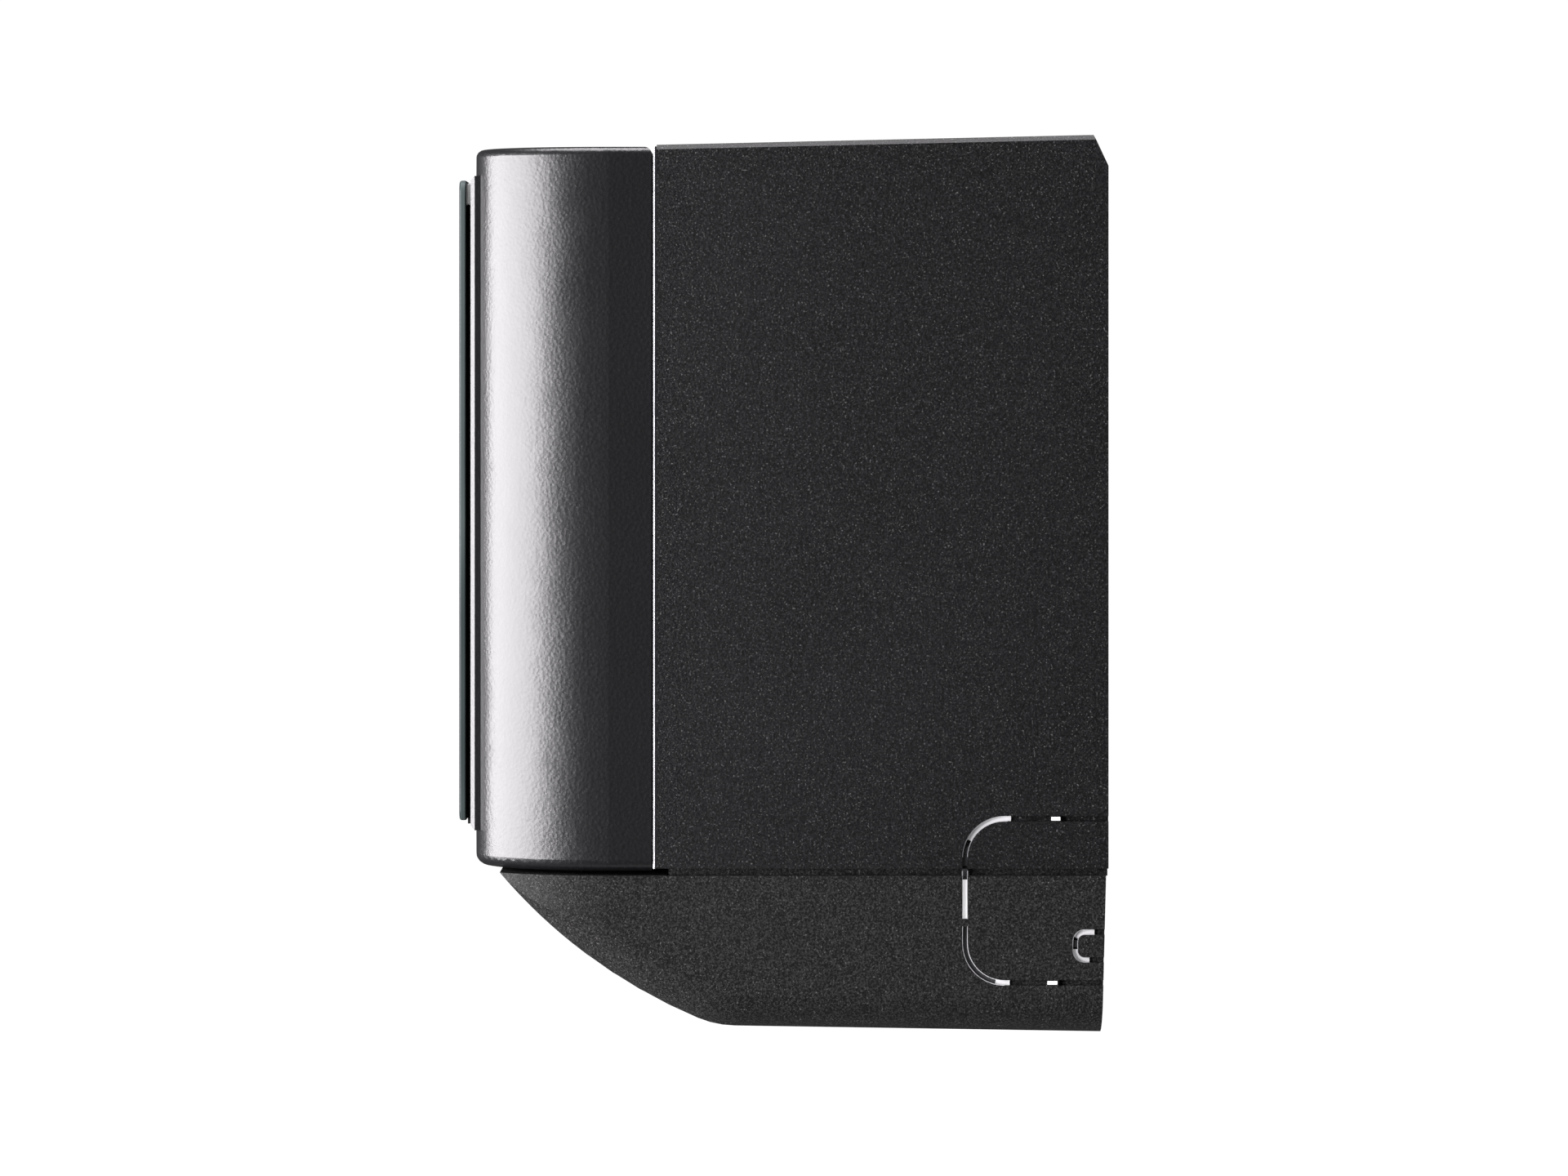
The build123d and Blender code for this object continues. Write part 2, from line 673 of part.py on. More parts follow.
with BuildPart() as drain_pan:
    add(slab(bay_left + 1, bay_right - 1, -194, -157, 105, 119))
    add(slab(bay_left + 3.5, bay_right - 3.5, -191.5, -159.5, 107.5, 120), mode=Mode.SUBTRACT)
    for x0, x1 in ((bay_right - 2, bay_right + 12), (bay_left - 4, bay_left + 2)):
        add(rod(x0, x1, -175, 112, 6))
save(drain_pan, "drain_pan")

with BuildPart() as drain_plug:
    add(rod(bay_left - 7, bay_left - 4, -175, 112, 7))
save(drain_plug, "drain_plug")


def tube(points, radius, arc):
    # A round tube along straight runs joined by arcs
    with BuildPart() as pipe:
        with BuildLine() as route:
            FilletPolyline(*[at(*point) for point in points], radius=arc)
        with BuildSketch(Plane(origin=route.line @ 0, z_dir=route.line % 0)):
            Circle(radius)
        sweep(path=route.line)
    return pipe.part


with BuildPart() as drain_hose:
    add(tube([(bay_right + 12, -175, 112), (hose_x, -175, 112), (hose_x, -175, 56),
              (hose_x, hose_y, 52), (hose_x, hose_y, 18), (250, hose_y, 18)], hose_r, 14))
save(drain_hose, "drain_hose")

# ------------------------------------------------------------------ fan and motor

with BuildPart() as cross_flow_fan:
    x0, x1 = duct_left + 4, duct_right - 4
    add(rod(x0, x1, fan_y, fan_h, fan_r))
    add(rod(x0 + 4, x1 - 4, fan_y, fan_h, fan_r - 8), mode=Mode.SUBTRACT)
    add(rod(x0 - 1, x1 + 1, fan_y, fan_h, shaft_r), mode=Mode.SUBTRACT)
save(cross_flow_fan, "cross_flow_fan")

with BuildPart() as fan_shaft:
    add(rod(bay_left - 5, duct_left + 8, fan_y, fan_h, shaft_r))
    add(rod(duct_right - 8, 330, fan_y, fan_h, shaft_r))
save(fan_shaft, "fan_shaft")

with BuildPart() as fan_bearing:
    add(rod(bay_left - 6, bay_left + 3, fan_y, fan_h, 8))
    add(rod(bay_left - 7, bay_left + 4, fan_y, fan_h, shaft_r + shaft_gap), mode=Mode.SUBTRACT)
save(fan_bearing, "fan_bearing")

with BuildPart() as bearing_holder:
    add(rod(bay_left - 5, bay_left + 2, fan_y, fan_h, bearing_r))
    add(rod(bay_left - 6, bay_left + 3, fan_y, fan_h, 8), mode=Mode.SUBTRACT)
save(bearing_holder, "bearing_holder")

with BuildPart() as fan_motor:
    add(rod(309, 383, fan_y, fan_h, 16))
    add(rod(313, 379, fan_y, fan_h, 42))
    fillet(fan_motor.edges().filter_by(GeomType.CIRCLE).group_by(SortBy.RADIUS)[-1], radius=4)
    add(rod(308, 332, fan_y, fan_h, shaft_r + shaft_gap), mode=Mode.SUBTRACT)
save(fan_motor, "fan_motor")

with BuildPart() as motor_cushion:
    add(rod(338, 354, fan_y, fan_h, 45))
    add(rod(337, 355, fan_y, fan_h, 42), mode=Mode.SUBTRACT)
save(motor_cushion, "motor_cushion")

with BuildPart() as motor_bracket:
    add(rod(336, 356, fan_y, fan_h, 48))
    add(slab(336, 356, fan_y + 30, back_y0, fan_h - 14, fan_h + 14))
    add(slab(330, 390, back_y0 - 3, back_y0, fan_h - 24, fan_h + 24))
    add(rod(335, 357, fan_y, fan_h, 45), mode=Mode.SUBTRACT)
save(motor_bracket, "motor_bracket")

# ------------------------------------------------------------------ electrics and controls

with BuildPart() as control_box:
    add(slab(312, 398, -186, -104, 180, 276))
    add(slab(314, 396, -187, -106, 182, 274), mode=Mode.SUBTRACT)
save(control_box, "control_box")

with BuildPart() as control_cover:
    add(slab(312, 398, -188, -186, 180, 276))
    add(slab(316, 394, -186, -184, 184, 272))
save(control_cover, "control_cover")

with BuildPart() as control_board:
    add(slab(317, 393, -116, -114.4, 186, 270))
    add(slab(324, 350, -132, -116, 228, 262))
    add(slab(360, 384, -128, -116, 232, 256))
    for x in (330, 345, 360, 375):
        with BuildSketch(Plane.XZ.offset(116)):
            with Locations(side(x, 204)):
                Circle(5.5)
        extrude(amount=18)
    add(slab(317, 319, -115, -106, 224, 232))
    add(slab(391, 393, -115, -106, 224, 232))
save(control_board, "control_board")

with BuildPart() as terminal_block:
    add(slab(326, 386, -176, -156, 156, 170))
    for number in range(5):
        x = 329 + number * 11
        add(slab(x, x + 9, -178, -162, 158, 168), mode=Mode.SUBTRACT)
    add(slab(350, 362, -172, -160, 170, 180))
save(terminal_block, "terminal_block")

with BuildPart() as display_board:
    add(slab(180, 280, -neck_front - 1.6, -neck_front, 72, 96))
    add(slab(200, 226, -neck_front - 4.2, -neck_front - 1.6, 77, 91))
    add(slab(246, 256, -neck_front - 4.2, -neck_front - 1.6, 79, 89))
save(display_board, "display_board")

with BuildPart() as service_button:
    # A recessed button, its tip 0.8 below the neck's face
    with BuildSketch(Plane.XZ.offset(neck_front - 0.8)):
        with Locations(side(button_x, button_h)):
            Circle(5)
    extrude(amount=-8.4)
    fillet(service_button.edges().sort_by(Axis.Y)[0], radius=0.8)
    with BuildSketch(Plane.XZ.offset(neck_front - wall - 0.3)):
        with Locations(side(button_x, button_h)):
            Circle(7)
    extrude(amount=-1.5)
save(service_button, "service_button")

# ------------------------------------------------------------------ refrigerant pipes

gas_r, liquid_r = 4.76, 3.175
gas_end, liquid_end = -60.0, -110.0

with BuildPart() as gas_pipe:
    add(tube([(306.5, -34, 200), (320, -34, 200), (320, -34, 42), (gas_end, -34, 42)], gas_r, 12))
save(gas_pipe, "gas_pipe")

with BuildPart() as liquid_pipe:
    add(tube([(306.5, -16, 184), (320, -16, 184), (320, -16, 26), (liquid_end, -16, 26)],
             liquid_r, 12))
save(liquid_pipe, "liquid_pipe")

with BuildPart() as flare_nuts:
    for x, y, h, pipe_r, flat in ((gas_end, -34, 42, gas_r, 22), (liquid_end, -16, 26, liquid_r, 17)):
        with BuildSketch(Plane.YZ.offset(x - 4)):
            with Locations(side(y, h)):
                RegularPolygon(flat / 2, 6, major_radius=False)
                Circle(pipe_r, mode=Mode.SUBTRACT)
        extrude(amount=20)
save(flare_nuts, "flare_nuts")
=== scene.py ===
from math import atan2, ceil, cos, pi, radians, sin, sqrt

import bmesh
import bpy
from mathutils import Matrix, Vector


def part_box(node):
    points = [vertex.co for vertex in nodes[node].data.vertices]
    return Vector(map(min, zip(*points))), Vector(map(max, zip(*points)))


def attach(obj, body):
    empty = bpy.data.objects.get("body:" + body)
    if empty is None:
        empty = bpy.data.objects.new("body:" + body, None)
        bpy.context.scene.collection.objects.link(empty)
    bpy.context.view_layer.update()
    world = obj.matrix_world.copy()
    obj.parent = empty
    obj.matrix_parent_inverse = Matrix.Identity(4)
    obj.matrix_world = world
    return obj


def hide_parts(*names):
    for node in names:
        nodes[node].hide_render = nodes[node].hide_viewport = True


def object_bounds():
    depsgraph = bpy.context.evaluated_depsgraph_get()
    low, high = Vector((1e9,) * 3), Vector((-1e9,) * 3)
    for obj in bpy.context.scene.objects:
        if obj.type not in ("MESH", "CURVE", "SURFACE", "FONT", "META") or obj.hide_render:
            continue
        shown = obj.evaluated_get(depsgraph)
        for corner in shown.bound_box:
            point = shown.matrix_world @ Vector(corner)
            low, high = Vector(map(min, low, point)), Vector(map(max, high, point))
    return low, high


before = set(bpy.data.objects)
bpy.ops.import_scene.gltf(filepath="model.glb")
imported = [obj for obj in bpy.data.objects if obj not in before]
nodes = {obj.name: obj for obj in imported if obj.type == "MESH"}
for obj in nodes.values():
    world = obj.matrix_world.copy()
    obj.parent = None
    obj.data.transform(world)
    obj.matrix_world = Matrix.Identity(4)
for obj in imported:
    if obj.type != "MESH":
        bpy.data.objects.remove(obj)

cadBox = [list(corner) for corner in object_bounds()]
mm = 0.001
caseLow, caseHigh = (Vector(corner) for corner in cadBox)
print("frame loaded:", len(nodes), "nodes")


# Camera, floor and light

shot = {
    "distance": 1.6,           # from the end wall
    "frameWidth": 0.513,       # what the frame spans at the end wall
    "eyeHeight": 0.065,
    "centreY": -0.1062,
    "centreZ": -0.0010,
}

camera = bpy.data.objects.new("camera", bpy.data.cameras.new("camera"))
bpy.context.scene.collection.objects.link(camera)
bpy.context.scene.camera = camera
camera.location = (caseHigh.x + shot["distance"], shot["centreY"], shot["eyeHeight"])
camera.rotation_euler = (radians(90), 0, radians(90))
camera.data.lens = camera.data.sensor_width * shot["distance"] / shot["frameWidth"]
camera.data.shift_y = (shot["centreZ"] - shot["eyeHeight"]) / shot["frameWidth"]
bpy.context.scene.view_settings.view_transform = "Standard"

studio = {
    "floorDrop": 2.10,
    "floorRadius": 3.0,
    "fadeFrom": 0.9,
    "skyLight": 0.08,          # what the white room adds to the object
    "skySeen": 1.05,           # how bright the room looks straight on
}

# name, place, aim, width, height, watts
lamps = [
    ("frontSoftbox", (0.88, -1.59, -0.02), (0.42, -0.18, -0.02), 1.9, 1.15, 132),
    ("topSoftbox", (0.55, -0.15, 1.60), (0.3, -0.1, 0.1), 1.4, 1.0, 55),
    ("backFill", (-0.9, 1.7, 0.5), (0.0, 0.0, 0.0), 1.4, 1.0, 12),
]


def addLamp(name, place, aim, width, height, watts):
    lamp = bpy.data.lights.new(name, "AREA")
    lamp.shape = "RECTANGLE"
    lamp.size, lamp.size_y, lamp.energy = width, height, watts
    lamp.color = (1.0, 0.975, 1.0)
    holder = bpy.data.objects.new(name, lamp)
    bpy.context.scene.collection.objects.link(holder)
    holder.location = place
    holder.rotation_euler = (Vector(aim) - Vector(place)).to_track_quat("-Z", "Y").to_euler()
    holder.visible_camera = False


for lampSettings in lamps:
    addLamp(*lampSettings)
print("camera and lamps set")


# Shader helpers

class Value:  # a socket that can be used in ordinary arithmetic
    def __init__(self, finish, socket):
        self.finish, self.socket = finish, socket

    def math(self, operation, *others, flip=False):
        terms = [self, *others]
        if flip:
            terms.reverse()
        return self.finish.add("ShaderNodeMath", {"operation": operation}, dict(enumerate(terms)))

    def __add__(self, other): return self.math("ADD", other)
    def __radd__(self, other): return self.math("ADD", other)
    def __sub__(self, other): return self.math("SUBTRACT", other)
    def __rsub__(self, other): return self.math("SUBTRACT", other, flip=True)
    def __mul__(self, other): return self.math("MULTIPLY", other)
    def __abs__(self): return self.math("ABSOLUTE")
    def __mod__(self, other): return self.math("FLOORED_MODULO", other)


class Finish:  # one material and the tools to wire it
    def __init__(self, name):
        self.material = bpy.data.materials.new(name)
        self.material.use_nodes = True
        self.tree = self.material.node_tree
        self.shader = self.tree.nodes["Principled BSDF"]
        self.place = self.add("ShaderNodeTexCoord", out="Object")

    def add(self, kind, settings=None, inputs=None, out=0):
        node = self.tree.nodes.new(kind)
        for key, value in (settings or {}).items():
            setattr(node, key, value)
        for key, value in (inputs or {}).items():
            if isinstance(value, Value):
                self.tree.links.new(value.socket, node.inputs[key])
            else:
                node.inputs[key].default_value = value
        return Value(self, node.outputs[out])

    def axis(self, letter):
        return self.add("ShaderNodeSeparateXYZ", None, {0: self.place}, out="XYZ".index(letter))

    def facing(self, letter):
        normal = self.add("ShaderNodeTexCoord", out="Normal")
        return self.add("ShaderNodeSeparateXYZ", None, {0: normal}, out="XYZ".index(letter))

    def stretch(self, scale):
        return self.add("ShaderNodeMapping", None, {"Vector": self.place, "Scale": scale})

    def noise(self, scale, detail=3.0, roughness=0.6, place=None):
        return self.add("ShaderNodeTexNoise", None,
                        {"Vector": place or self.place, "Scale": scale, "Detail": detail,
                         "Roughness": roughness})

    def cells(self, scale, place=None):
        return self.add("ShaderNodeTexVoronoi", None, {"Vector": place or self.place, "Scale": scale},
                        out="Distance")

    def ramp(self, value, low, high, start=0.0, stop=1.0):
        return self.add("ShaderNodeMapRange", {"interpolation_type": "SMOOTHSTEP"},
                        {"Value": value, "From Min": low, "From Max": high, "To Min": start,
                         "To Max": stop})

    def blend(self, share, first, second):
        return self.add("ShaderNodeMix", {"data_type": "RGBA"},
                        {0: share, 6: colour(first), 7: colour(second)}, out=2)

    def bump(self, height, strength, distance):
        return self.add("ShaderNodeBump", None,
                        {"Height": height, "Strength": strength, "Distance": distance})

    def set(self, **values):
        names = {"baseColor": "Base Color", "specular": "Specular IOR Level", "ior": "IOR",
                 "roughness": "Roughness", "metallic": "Metallic", "normal": "Normal"}
        for key, value in values.items():
            socket = self.shader.inputs[names[key]]
            if isinstance(value, Value):
                self.tree.links.new(value.socket, socket)
            else:
                socket.default_value = colour(value) if isinstance(value, (tuple, list)) else value
        return self.material


def colour(value):
    return (*value, 1.0) if isinstance(value, (tuple, list)) and len(value) == 3 else value


# Finishes

def texturedPlastic(name, settings):
    # Spark-eroded black plastic: fine grain, faint cloudiness, colour lighter where the grain stands high,
    # and a few bright specks that are painted glints
    finish = Finish(name)
    grain = finish.noise(settings["grainScale"], 4.0, 0.72)
    pebble = finish.cells(settings["pebbleScale"])
    cloud = finish.noise(settings["cloudScale"], 3.0, 0.55)
    height = grain * settings["grainShare"] + pebble * settings["pebbleShare"]
    # painted glints: bright specks scattered over the grain
    paintedGlint = finish.ramp(finish.noise(settings["speckScale"], 2.0, 0.5), settings["speckFrom"],
                        settings["speckTo"])
    tint = finish.blend(cloud, settings["dark"], settings["light"])
    # colour lighter where the grain stands high
    peakShare = finish.ramp(grain, settings["peakFrom"], settings["peakTo"])
    shade = finish.blend(peakShare * settings["grainTint"], tint, settings["peakTint"])
    body = finish.blend(paintedGlint * settings["speckShare"], shade, settings["paintedGlint"])
    rough = (settings["roughness"] + (cloud - 0.5) * settings["cloudRough"]
             + (grain - 0.5) * settings["grainRough"])
    return finish.set(baseColor=body, roughness=rough, specular=settings["specular"],
                      normal=finish.bump(height, settings["bump"], settings["depth"] * mm))


casePlastic = {
    "grainScale": 1450.0, "pebbleScale": 1100.0, "pebbleShare": 0.35, "speckScale": 1750.0,
    "grainShare": 0.75, "cloudScale": 9.0, "speckFrom": 0.585, "speckTo": 0.80, "speckShare": 0.75,
    "peakFrom": 0.44, "peakTo": 0.62, "cloudRough": 0.10, "grainRough": 0.12,
    "dark": (0.0020, 0.0020, 0.0022), "light": (0.0038, 0.0038, 0.0045),
    "peakTint": (0.016, 0.016, 0.017), "grainTint": 0.80, "paintedGlint": (0.15, 0.15, 0.15),
    "roughness": 0.44, "specular": 0.22, "bump": 0.70, "depth": 0.22,
}
shellPlastic = dict(casePlastic, dark=(0.0050, 0.0050, 0.0050), light=(0.0075, 0.0075, 0.0075),
                    peakTint=(0.036, 0.036, 0.036), roughness=0.52, specular=0.10)
panelPlastic = dict(casePlastic, grainScale=1000.0, pebbleScale=820.0, pebbleShare=0.6, grainTint=0.2,
                    dark=(0.004, 0.004, 0.0045), light=(0.006, 0.006, 0.007), peakTint=(0.012, 0.012, 0.013),
                    speckShare=0.03, roughness=0.31, specular=0.52, bump=0.60, depth=0.13)
innerPlastic = dict(casePlastic, grainScale=900.0, grainTint=0.2, speckShare=0.0, bump=0.2,
                    dark=(0.012, 0.012, 0.013), light=(0.020, 0.020, 0.022), roughness=0.5)


fasciaGlass = {
    "edgeFrom": 0.30, "edgeTo": 0.85, "streakScale": 70.0, "streakStretch": (1, 1, 0.12),
    "streakWidth": 0.16, "hazeScale": 16.0, "specular": 0.10, "ior": 1.45,
    "roughness": 0.10, "hazeRough": 0.04, "edgeRough": 0.34,
}


def glassFinish(name, settings):
    # Black-printed glass with a green-grey ground edge
    finish = Finish(name)
    edge = finish.ramp(abs(finish.facing("Y")), settings["edgeFrom"], settings["edgeTo"], 1.0, 0.0)
    lines = finish.noise(settings["streakScale"], 2.0, 0.5, finish.stretch(settings["streakStretch"]))
    streak = finish.ramp(abs(lines - 0.5), 0.0, settings["streakWidth"])
    rim = finish.blend(streak, (0.060, 0.076, 0.075), (0.030, 0.040, 0.040))
    haze = finish.noise(settings["hazeScale"], 3.0, 0.6)
    rough = settings["roughness"] + haze * settings["hazeRough"] + edge * settings["edgeRough"]
    return finish.set(baseColor=finish.blend(edge, (0.004, 0.005, 0.006), rim), roughness=rough,
                      specular=settings["specular"], ior=settings["ior"])


metalSkin = {"streakScale": 260.0, "blotchScale": 22.0, "spangleScale": 260.0, "maskFrom": 0.30,
             "maskTo": 0.72, "maskRough": 0.28, "bump": 0.12, "depth": 0.05}


def metalFinish(name, base, darker, roughness, grainScale=(1, 1, 1), metallic=1.0, spangle=0.0):
    # Rolled or drawn metal: streaks along one direction, blotches, and a zinc spangle if asked
    finish = Finish(name)
    streak = finish.noise(metalSkin["streakScale"], 3.0, 0.6, finish.stretch(grainScale))
    blotch = finish.noise(metalSkin["blotchScale"], 3.0, 0.6)
    mask = streak * 0.5 + blotch * 0.5
    if spangle:
        mask = mask * (1 - spangle) + finish.cells(metalSkin["spangleScale"]) * spangle
    share = finish.ramp(mask, metalSkin["maskFrom"], metalSkin["maskTo"])
    return finish.set(baseColor=finish.blend(share, darker, base), metallic=metallic,
                      roughness=roughness + (mask - 0.5) * metalSkin["maskRough"],
                      normal=finish.bump(streak, metalSkin["bump"], metalSkin["depth"] * mm))


plainSkin = {"toneScale": 28.0, "toneFrom": 0.3, "toneTo": 0.7, "toneRough": 0.15, "skinRough": 0.1}


def plainFinish(name, base, darker, roughness, scale=600.0, bumpDepth=0.06, specular=0.5, bump=0.3):
    # Small moulded or painted pieces: an even tone with slight mottling and a fine skin
    finish = Finish(name)
    skin = finish.noise(scale, 3.0, 0.6)
    tone = finish.noise(plainSkin["toneScale"], 3.0, 0.6)
    share = finish.ramp(tone, plainSkin["toneFrom"], plainSkin["toneTo"])
    rough = roughness + (tone - 0.5) * plainSkin["toneRough"] + (skin - 0.5) * plainSkin["skinRough"]
    return finish.set(baseColor=finish.blend(share, darker, base), roughness=rough, specular=specular,
                      normal=finish.bump(skin, bump, bumpDepth * mm))


solder = {"tracksPerMetre": 330.0, "wanderScale": 60.0, "wander": 2.0, "padScale": 240.0,
          "padStretch": (1, 0.05, 1), "lineFrom": 0.10, "lineTo": 0.16, "bankScale": 45.0,
          "bankFrom": 0.50, "bankTo": 0.55}


def boardFinish(name):
    # Green solder mask with tracks and tinned pads
    finish = Finish(name)
    wander = finish.noise(solder["wanderScale"], 1.0) * solder["wander"]
    comb = abs((finish.axis("X") * solder["tracksPerMetre"] + wander) % 1.0 - 0.5)
    tracks = finish.ramp(comb, solder["lineFrom"], solder["lineTo"], 1.0, 0.0)
    dots = finish.cells(solder["padScale"], finish.stretch(solder["padStretch"]))
    pads = finish.ramp(dots, solder["lineFrom"], solder["lineTo"], 1.0, 0.0)
    banks = finish.ramp(finish.noise(solder["bankScale"], 1.0, 0.4), solder["bankFrom"], solder["bankTo"])
    mask = finish.blend(tracks * banks * 0.8, (0.004, 0.030, 0.014), (0.010, 0.060, 0.026))
    return finish.set(baseColor=finish.blend(pads, mask, (0.62, 0.60, 0.55)), metallic=pads * 0.9,
                      roughness=0.36 + (1 - pads) * 0.08,
                      normal=finish.bump(tracks * banks + pads, 0.4, 0.05 * mm))


finishes = {
    "case": texturedPlastic("caseBlackPlastic", casePlastic),
    "shell": texturedPlastic("shellBlackPlastic", shellPlastic),
    "panel": texturedPlastic("panelSemiGlossPlastic", panelPlastic),
    "inner": texturedPlastic("innerBlackPlastic", innerPlastic),
    "glass": glassFinish("blackFasciaGlass", fasciaGlass),
    "foam": plainFinish("foamTape", (0.014, 0.014, 0.015), (0.008, 0.008, 0.008), 0.85, 1300.0,
                        bumpDepth=0.4, specular=0.2, bump=0.8),
    "trim": metalFinish("brightTrim", (0.50, 0.49, 0.52), (0.34, 0.34, 0.36), 0.34, (1, 1, 0.05)),
    "steel": metalFinish("zincSteel", (0.62, 0.62, 0.63), (0.40, 0.40, 0.42), 0.34),
    "galvanised": metalFinish("galvanisedSheet", (0.66, 0.67, 0.69), (0.42, 0.43, 0.45), 0.36, spangle=0.30),
    "fins": metalFinish("coatedFins", (0.60, 0.71, 0.78), (0.42, 0.54, 0.62), 0.40, (1, 1, 0.2), 0.85),
    "copper": metalFinish("drawnCopper", (0.80, 0.42, 0.26), (0.52, 0.24, 0.14), 0.30),
    "brass": metalFinish("turnedBrass", (0.83, 0.66, 0.34), (0.60, 0.44, 0.20), 0.26),
    "bronze": metalFinish("sinteredBronze", (0.48, 0.34, 0.20), (0.34, 0.23, 0.13), 0.5),
    "rubber": plainFinish("mouldedRubber", (0.030, 0.030, 0.030), (0.018, 0.018, 0.018), 0.72, 700.0),
    "hose": plainFinish("hosePlastic", (0.60, 0.60, 0.57), (0.46, 0.46, 0.43), 0.5),
    "fan": plainFinish("fanPlastic", (0.040, 0.040, 0.044), (0.026, 0.026, 0.028), 0.45, 900.0),
    "vane": plainFinish("vanePlastic", (0.034, 0.034, 0.036), (0.022, 0.022, 0.024), 0.42, 900.0),
    "filter": plainFinish("filterPlastic", (0.050, 0.052, 0.058), (0.032, 0.034, 0.038), 0.5, 900.0),
    "motor": metalFinish("motorShell", (0.34, 0.35, 0.36), (0.22, 0.22, 0.23), 0.38),
    "box": plainFinish("boxPlastic", (0.62, 0.62, 0.58), (0.50, 0.50, 0.46), 0.48),
    "board": boardFinish("circuitBoard"),
    # pale and white webs: painted light through the slots, with a glow added below
    "webPale": plainFinish("thinWebPaintedLightPale", (0.78, 0.78, 0.79), (0.55, 0.55, 0.56), 0.32, 500.0, 0.08),
    "webGrey": plainFinish("thinWebGrey", (0.060, 0.060, 0.064), (0.030, 0.030, 0.032), 0.30, 500.0, 0.08),
    "webWhite": plainFinish("thinWebPaintedLightWhite", (0.95, 0.95, 0.95), (0.86, 0.86, 0.87), 0.30, 300.0, 0.05),
    "paintedEdgeHighlight": plainFinish("paintedGrooveHighlight", (0.70, 0.70, 0.72), (0.22, 0.22, 0.23), 0.25, 900.0, 0.10),
    # black for the board chips, and also the painted shade of the screw recesses
    "chip": plainFinish("chipAndRecessShadeBlack", (0.016, 0.016, 0.017), (0.010, 0.010, 0.010), 0.45, 900.0),
}
# painted light: the pale and white web finishes glow, and the pale one also makes the strips above the foam
# tape glow
webGlow = {"webPale": 0.10, "webWhite": 0.42}   # stands in for daylight through the thin webs
for finishName, glow in webGlow.items():
    shader = finishes[finishName].node_tree.nodes["Principled BSDF"]
    shader.inputs["Emission Color"].default_value = (1.0, 1.0, 1.0, 1.0)
    shader.inputs["Emission Strength"].default_value = glow
print("finishes made:", len(finishes))

wornBy = {
    "cabinet": "case", "lower_shell": "shell", "louver": "shell", "front_panel": "panel",
    "glass_fascia": "glass", "fascia_tape": "foam", "trim_strips": "trim", "hinge_pins": "steel",
    "hinge_eyes": "inner", "display_board": "board", "service_button": "inner", "rear_chassis": "inner",
    "outlet_frame": "inner", "mounting_plate": "galvanised", "casing_screws": "steel",
    "evaporator_front": "fins", "evaporator_upper": "fins", "evaporator_rear": "fins",
    "tube_sheets": "galvanised", "coil_bends": "copper", "gas_pipe": "copper", "liquid_pipe": "copper",
    "flare_nuts": "brass", "drain_pan": "inner", "drain_plug": "rubber", "drain_hose": "hose",
    "cross_flow_fan": "fan", "fan_shaft": "steel", "fan_bearing": "bronze", "bearing_holder": "rubber",
    "fan_motor": "motor", "motor_cushion": "rubber", "motor_bracket": "galvanised", "control_box": "box",
    "control_cover": "galvanised", "control_board": "board", "terminal_block": "box",
    "louver_motor": "motor", "vane_motors": "motor", "filter_left": "filter", "filter_right": "filter",
    "link_rod_left": "vane", "link_rod_right": "vane",
}

for nodeName, node in nodes.items():
    finishName = wornBy.get(nodeName, "vane")
    node.data.materials.clear()
    node.data.materials.append(finishes[finishName])


# Geometry Nodes helper

